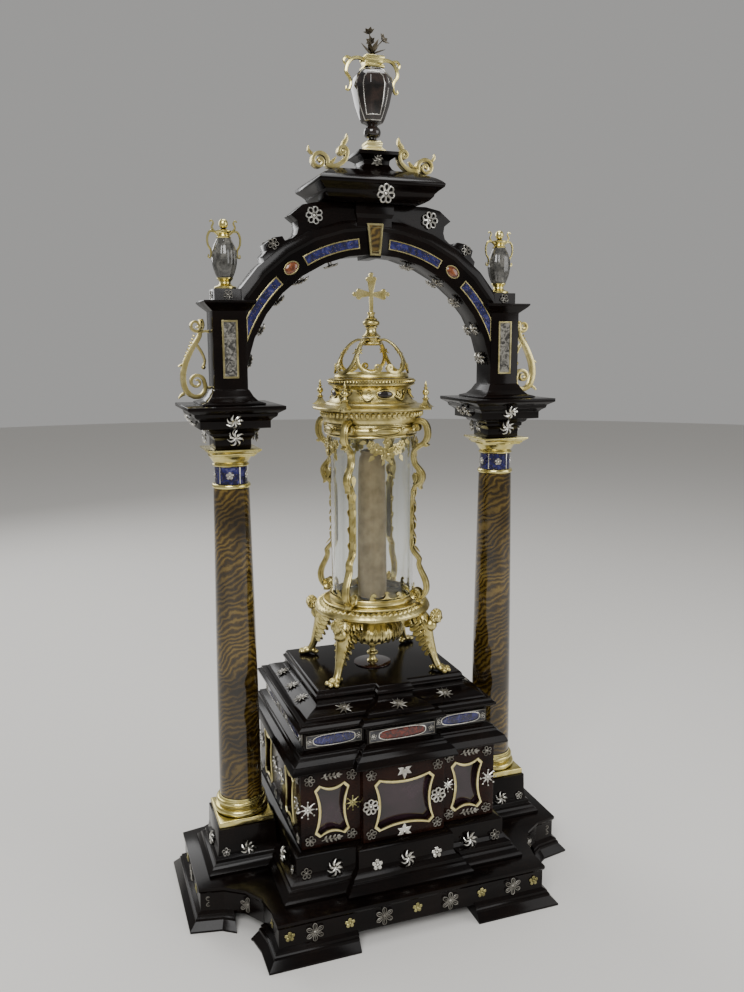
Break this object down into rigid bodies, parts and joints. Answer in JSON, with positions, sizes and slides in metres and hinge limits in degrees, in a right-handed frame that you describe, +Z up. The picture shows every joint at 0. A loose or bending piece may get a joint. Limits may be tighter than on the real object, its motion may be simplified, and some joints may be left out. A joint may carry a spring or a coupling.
{
  "type": "reliquary casket",
  "caption": "Ebony aedicule with stone columns and an arch over a glazed casket, which carries a gilt ostensory with a glass cylinder.",
  "frame": {"origin": "on the floor, at the middle of the base plinth", "axes": "+Z up, +X to the right of someone who faces the casket, -Y towards the front"},
  "size_m": [0.4366, 0.3036, 0.8978],
  "materials": {
    "ebony": "polished",
    "dark_glass": "polished",
    "gilt_bronze": "satin",
    "amber_stone": "polished stone",
    "lapis": "polished stone",
    "grey_agate": "polished stone",
    "smoky_stone": "polished stone",
    "dark_metal": "tarnished",
    "jasper": "polished stone",
    "clear_glass": "polished",
    "pale_cloth": "matt"
  },
  "bodies": {
    "root": {"base_plinth": "ebony", "casket_plinth": "ebony", "casket_body": "ebony", "casket_cornice": "ebony", "casket_lid": "ebony", "pane_front_left": "dark_glass", "pane_front_middle": "dark_glass", "pane_front_right": "dark_glass", "pane_left_end_front": "dark_glass", "pane_left_end_back": "dark_glass", "pane_right_end_front": "dark_glass", "pane_right_end_back": "dark_glass", "column_base_left": "gilt_bronze", "column_base_right": "gilt_bronze", "column_shaft_left": "amber_stone", "column_shaft_right": "amber_stone", "column_ring_left": "gilt_bronze", "column_ring_right": "gilt_bronze", "column_neck_left": "lapis", "column_neck_right": "lapis", "column_capital_left": "gilt_bronze", "column_capital_right": "gilt_bronze", "impost_left": "ebony", "impost_right": "ebony", "arch": "ebony", "pier_scroll_left": "gilt_bronze", "pier_scroll_right": "gilt_bronze", "side_urn_foot_left": "gilt_bronze", "side_urn_foot_right": "gilt_bronze", "side_urn_body_left": "grey_agate", "side_urn_body_right": "grey_agate", "side_urn_top_left": "gilt_bronze", "side_urn_top_right": "gilt_bronze", "top_cornice": "ebony", "cornice_scroll_left": "gilt_bronze", "cornice_scroll_right": "gilt_bronze", "urn_plinth": "ebony", "urn_foot": "gilt_bronze", "urn_body": "smoky_stone", "urn_neck": "gilt_bronze", "urn_flowers": "dark_metal", "stem_disc": "jasper", "ostensory_base": "gilt_bronze", "leg_front_left": "gilt_bronze", "leg_front_right": "gilt_bronze", "leg_back_left": "gilt_bronze", "leg_back_right": "gilt_bronze", "glass_cylinder": "clear_glass", "relic": "pale_cloth", "bracket_front_left": "gilt_bronze", "bracket_front_right": "gilt_bronze", "bracket_back_left": "gilt_bronze", "bracket_back_right": "gilt_bronze", "canopy": "gilt_bronze", "crown": "gilt_bronze", "cross": "gilt_bronze"}
  },
  "joints": []
}
